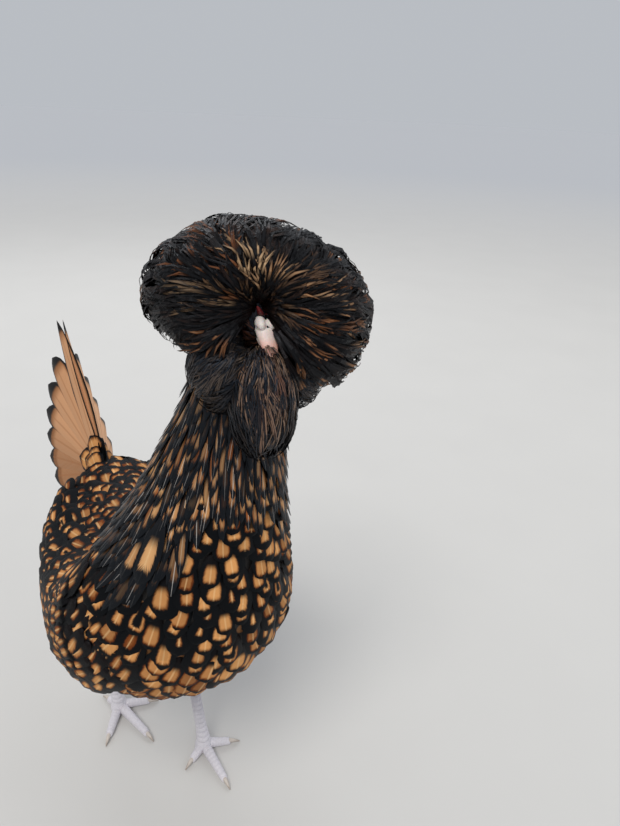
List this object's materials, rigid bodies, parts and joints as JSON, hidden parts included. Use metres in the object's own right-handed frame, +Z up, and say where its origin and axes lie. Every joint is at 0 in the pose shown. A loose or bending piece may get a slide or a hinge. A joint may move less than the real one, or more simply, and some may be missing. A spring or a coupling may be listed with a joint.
{
  "type": "gold-laced bearded Polish hen, still model",
  "caption": "Life-size still model of a crested, bearded hen with gold-laced plumage, standing with her head turned, divided into its named body parts",
  "frame": {"origin": "on the floor, under the middle of the bird's bounding box", "axes": "+Z up, the breast faces -Y, the bird's left side is +X"},
  "size_m": [0.2036, 0.367, 0.4807],
  "materials": {
    "body_feathers": "gold feathers with black lacing",
    "hackle_feathers": "black feathers with gold shafts and a blue sheen",
    "crest_feathers": "glossy black feathers with gold streaks",
    "beard_feathers": "soft black and brown feathers",
    "tail_feathers": "buff feathers with thin black lacing",
    "face_skin": "thin reddish skin",
    "beak": "pale horn",
    "comb": "small red comb",
    "eye": "wet orange-brown",
    "leg_skin": "pale slate scutes",
    "claw": "pale horn"
  },
  "bodies": {
    "root": {"torso": "body_feathers", "neck": "hackle_feathers", "head": "face_skin", "upper_beak": "beak", "lower_beak": "beak", "comb": "comb", "eye_right": "eye", "eye_left": "eye", "crest": "crest_feathers", "beard": "beard_feathers", "muff_right": "beard_feathers", "muff_left": "beard_feathers", "tail": "tail_feathers", "wing_right": "body_feathers", "wing_left": "body_feathers", "thigh_right": "body_feathers", "thigh_left": "body_feathers", "shank_right": "leg_skin", "shank_left": "leg_skin", "foot_right": "leg_skin", "foot_left": "leg_skin", "claw_right_outer": "claw", "claw_right_middle": "claw", "claw_right_inner": "claw", "claw_right_back": "claw", "claw_left_outer": "claw", "claw_left_middle": "claw", "claw_left_inner": "claw", "claw_left_back": "claw"}
  },
  "joints": []
}
